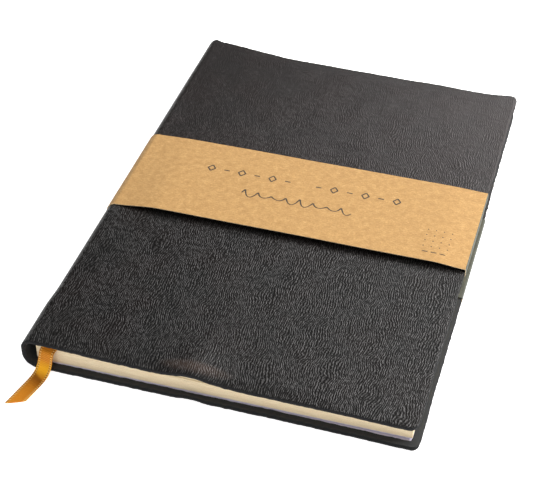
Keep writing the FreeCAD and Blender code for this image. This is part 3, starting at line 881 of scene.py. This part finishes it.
def make_band_half(name, path, front):
    flat, normals, lengths = path
    shares = np.linspace(0, 1, BAND_ROWS)
    grids = []
    for offset in (PAPER / 2, -PAPER / 2):
        grid = np.zeros((len(flat), BAND_ROWS, 3))
        for i, ((x, z), (nx, nz)) in enumerate(zip(flat, normals)):
            grid[i] = [band_point(x, z, nx, nz, share, offset, front) for share in shares]
        grids.append(grid)
    uv = np.zeros(grids[0].shape[:2] + (2,))
    uv[:, :, 0] = lengths[:, None]
    uv[:, :, 1] = shares[None, :] * (STRIP_HIGH - STRIP_LOW)
    shell = Shell()
    shell.add(grids[0], grids[1], uv, 1, 0.03 * MM, seam=0 if front else -1)
    half = face_outwards(shell.build(name, [KRAFT, KRAFT, KRAFT_EDGE, KRAFT_SHADE]))
    # Painted shade: the fold sides at the fore edge and the back flap tucked inside get the dark
    # grey-olive kraft.
    for face in half.data.polygons:
        fold = face.center.x > HALF_WIDTH - 2.5 * MM and face.normal.x > 0.4
        flap = not front and face.center.x > 0 and face.center.z > BASE + COVER
        if fold or flap:
            face.material_index = 3
    return half


band_back = make_band_half("paper_band_back", BAND_BACK, False)
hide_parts("band_back", "band_spine")
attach(band_back, "band")
band_front = make_band_half("paper_band_front", BAND_FRONT, True)
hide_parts("band_front")
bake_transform(band_front)


# ---------------------------------------------------------------- print on the band
def on_band(x, across):
    """A point just above the printed face; across is measured from the strip's middle."""
    share = 0.5 + across / (STRIP_HIGH - STRIP_LOW)
    z = cover_top(x) + CENTRE_LINE
    return Vector(band_point(x, z, SLOPE, 1.0, share, PAPER / 2 + 0.03 * MM, True))


def stroke(shell, places, width):
    """A flat inked line through places (x, across)."""
    line = [Vector(p) for p in places]
    tops = []
    for i, here in enumerate(line):
        before, after = line[max(i - 1, 0)], line[min(i + 1, len(line) - 1)]
        side = (after - before).normalized().orthogonal()
        wide = width(i / (len(line) - 1)) if callable(width) else width
        tops.append([on_band(*(here - side * wide / 2)), on_band(*(here + side * wide / 2))])
    top = np.array([[tuple(p) for p in pair] for pair in tops])
    under = top - np.array([0, 0, 0.02 * MM])
    uv = top[:, :, :2].copy()
    shell.add(top, under, uv, kinds=(0, 0, 0))


def blob(shell, x, across, radius, sides):
    """A filled dot or diamond."""
    ring = [on_band(x + radius * math.cos(a), across + radius * math.sin(a))
            for a in np.arange(sides) * 2 * math.pi / sides]
    middle = on_band(x, across)
    top = np.array([[tuple(middle), tuple(p)] for p in ring + ring[:1]])
    under = top - np.array([0, 0, 0.02 * MM])
    shell.add(top, under, top[:, :, :2].copy(), kinds=(0, 0, 0))


MARK_PITCH = 6.7 * MM
MARK_LINE = 8.0 * MM
WAVE_LINE = -5.2 * MM
PEN = 0.60 * MM


def make_print():
    """A generic ornament: open diamonds and dashes, a wavy line, and a square of dots."""
    shell = Shell()
    for k in range(-6, 7):
        x = k * MARK_PITCH
        if k % 2:
            stroke(shell, [(x - 1.2 * MM, MARK_LINE), (x + 1.2 * MM, MARK_LINE)], PEN)
        elif k:
            ring = [(x + 1.6 * MM * math.cos(a), MARK_LINE + 2.1 * MM * math.sin(a))
                    for a in np.linspace(0, 2 * math.pi, 5)]
            for first, last in zip(ring, ring[1:]):
                stroke(shell, [first, last], PEN)
    wave = []
    for t in np.linspace(0, 1, 240):
        height = (1.5 + 0.8 * math.sin(13 * t + 0.9)) * MM * math.sin(50 * t)
        loop = 0.55 * MM * math.cos(50 * t)
        wave.append(((t - 0.5) * 47 * MM + loop, WAVE_LINE + height))
    stroke(shell, wave, lambda t: PEN * (0.95 + 0.25 * math.sin(50 * t)))
    for row in range(4):
        for column in range(4):
            blob(shell, (56.8 + 3.4 * column) * MM, (-6.3 - 3.6 * row) * MM, 0.30 * MM, 10)
    for k in range(3):
        x = (58.2 + 3.7 * k) * MM
        stroke(shell, [(x - 1.2 * MM, -20.6 * MM), (x + 1.2 * MM, -20.6 * MM)], 0.5 * MM)
    return face_outwards(shell.build("band_print", [INK]))


band_print = make_print()
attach(band_print, "band_flap")


# ---------------------------------------------------------------- marker ribbon
inside_low, inside_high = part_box("ribbon_inside")
RIBBON_WIDTH = 6.3 * MM
RIBBON_THICK = 0.3 * MM
RIBBON_LEVEL = (inside_low.z + inside_high.z) / 2
RIBBON_START = Vector(((inside_low.x + inside_high.x) / 2, inside_low.y, 0))
RIBBON_LEAD = math.radians(12.9)
RIBBON_ROUTE = [
    (0, RIBBON_LEVEL),
    (7.0 * MM, RIBBON_LEVEL - 0.03 * MM),
    (14.2 * MM, RIBBON_LEVEL),
    (15.3 * MM, 7.60 * MM),
    (16.3 * MM, 4.00 * MM),
    (18.4 * MM, 1.35 * MM),
    (21.8 * MM, 0.25 * MM),
    (28.2 * MM, 0.30 * MM),
    (37.6 * MM, 0.25 * MM),
]


def ribbon_curve():
    """The smooth line that the ribbon's middle follows."""
    out = Vector((-math.sin(RIBBON_LEAD), -math.cos(RIBBON_LEAD), 0))
    curve = bpy.data.curves.new("ribbon_line", "CURVE")
    curve.dimensions = "3D"
    curve.resolution_u = 24
    spline = curve.splines.new("NURBS")
    spline.points.add(len(RIBBON_ROUTE) - 1)
    for point, (run, height) in zip(spline.points, RIBBON_ROUTE):
        place = RIBBON_START + out * run + Vector((0, 0, height))
        point.co = (*place, 1)
    spline.order_u = 3
    spline.use_endpoint_u = True
    holder = bpy.data.objects.new("ribbon_line", curve)
    bpy.context.scene.collection.objects.link(holder)
    bpy.context.view_layer.update()
    mesh = bpy.data.meshes.new_from_object(holder)
    points = [Vector(v.co) for v in mesh.vertices]
    bpy.data.meshes.remove(mesh)
    bpy.data.objects.remove(holder)
    bpy.data.curves.remove(curve)
    return points


def even(points, step):
    """The same line with points an even distance apart, and its length."""
    runs = np.concatenate([[0], np.cumsum([(b - a).length for a, b in zip(points, points[1:])])])
    count = int(runs[-1] / step)
    wanted = np.linspace(0, runs[-1], count + 1)
    flat = np.array([tuple(p) for p in points])
    made = np.stack([np.interp(wanted, runs, flat[:, k]) for k in range(3)], axis=1)
    return made, wanted


ACROSS = 13
CUT_SLANT = 4.8 * MM


def make_ribbon():
    line, runs = even(ribbon_curve(), 0.17 * MM)
    side = np.array([math.cos(RIBBON_LEAD), -math.sin(RIBBON_LEAD), 0.0])
    along = np.gradient(line, axis=0)
    along /= np.linalg.norm(along, axis=1)[:, None]
    up = np.cross(side, -along)
    up /= np.linalg.norm(up, axis=1)[:, None]
    shares = np.linspace(-1, 1, ACROSS)
    tops = np.zeros((len(line), ACROSS, 3))
    unders = np.zeros_like(tops)
    length = runs[-1]
    for i, run in enumerate(runs):
        picot = 0.13 * MM * abs(math.sin(math.pi * run / (PICOT_PITCH * MM)))
        half = RIBBON_WIDTH / 2 - 0.12 * MM + picot
        for j, share in enumerate(shares):
            back = CUT_SLANT * smooth(run, length - 12 * MM, length) * (share + 1) / 2
            at = line[i] - along[i] * back
            curl = 0.22 * MM * share * share * smooth(run, 12 * MM, 20 * MM)
            edge = 1 - 0.55 * abs(share) ** 6
            place = at + side * share * half + up[i] * curl
            tops[i, j] = place + up[i] * RIBBON_THICK / 2 * edge
            unders[i, j] = place - up[i] * RIBBON_THICK / 2 * edge
    uv = np.zeros(tops.shape[:2] + (2,))
    uv[:, :, 0] = shares[None, :] * RIBBON_WIDTH / 2
    uv[:, :, 1] = runs[:, None]
    shell = Shell()
    shell.add(tops, unders, uv, 1, 0.04 * MM, kinds=(0, 0, 0))
    ribbon = face_outwards(shell.build("ribbon_free_end", [SATIN]))
    return ribbon, line, length


ribbon, ribbon_line, ribbon_length = make_ribbon()
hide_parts("ribbon_tail")
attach(ribbon, "book")


# ---------------------------------------------------------------- hidden pieces
def coat(node, material):
    mesh = frame["nodes"][node].data
    mesh.materials.clear()
    mesh.materials.append(material)


coat("spine_mull", GAUZE)
coat("sewing_tapes", TAPE)
coat("sewing_stitches", THREAD)
coat("ribbon_inside", SATIN)


# ---------------------------------------------------------------- studio
def make_floor():
    mesh = bpy.data.meshes.new("floor")
    size = 40.0
    mesh.from_pydata([(-size, -size, 0), (size, -size, 0), (size, size, 0), (-size, size, 0)],
                     [], [(0, 1, 2, 3)])
    mesh.materials.append(floor_material())
    floor = bpy.data.objects.new("floor", mesh)
    floor.location.z = -0.05 * MM
    bpy.context.scene.collection.objects.link(floor)


def aim(thing, place, target):
    thing.location = place
    thing.rotation_mode = "QUATERNION"
    thing.rotation_quaternion = (Vector(target) - Vector(place)).to_track_quat("-Z", "Y")


def area_light(name, place, size, power):
    data = bpy.data.lights.new(name, "AREA")
    data.shape = "RECTANGLE"
    data.size, data.size_y = size
    data.energy = power
    light = bpy.data.objects.new(name, data)
    bpy.context.scene.collection.objects.link(light)
    aim(light, place, (0, 0, 0))


def make_lights():
    area_light("back_right_softbox", (0.40, 1.05, 0.80), (0.9, 0.7), 12.0)
    area_light("right_key", (0.75, 0.25, 0.42), (0.30, 0.30), 9.5)
    area_light("overhead", (0.15, -0.1, 1.3), (0.7, 0.7), 5.0)
    area_light("front_fill", (0.0, -1.2, 0.6), (0.9, 0.6), 5.4)
    world = bpy.data.worlds.new("studio")
    world.use_nodes = True
    world.node_tree.nodes["Background"].inputs[0].default_value = (1, 1, 1, 1)
    world.node_tree.nodes["Background"].inputs[1].default_value = 0.12
    bpy.context.scene.world = world


CAMERA_PLACE = Vector((0.12348, -0.45797, 0.38052))
CAMERA_AZIMUTH = math.radians(16.555)
CAMERA_DOWN = math.radians(39.377)
CAMERA_ROLL = math.radians(0.102)
FOCAL_PIXELS = 1445.0
FRAME_WIDTH = 533
SENSOR = 36.0


def make_camera():
    data = bpy.data.cameras.new("camera")
    data.sensor_width = SENSOR
    data.lens = FOCAL_PIXELS / FRAME_WIDTH * SENSOR
    camera = bpy.data.objects.new("camera", data)
    bpy.context.scene.collection.objects.link(camera)
    look = Vector((-math.sin(CAMERA_AZIMUTH) * math.cos(CAMERA_DOWN),
                   math.cos(CAMERA_AZIMUTH) * math.cos(CAMERA_DOWN), -math.sin(CAMERA_DOWN)))
    aim(camera, CAMERA_PLACE, CAMERA_PLACE + look)
    turn = Matrix.Rotation(-CAMERA_ROLL, 4, look)
    camera.rotation_quaternion = turn.to_quaternion() @ camera.rotation_quaternion
    bpy.context.scene.camera = camera
    bpy.context.scene.view_settings.view_transform = "Standard"


make_floor()
make_lights()
make_camera()
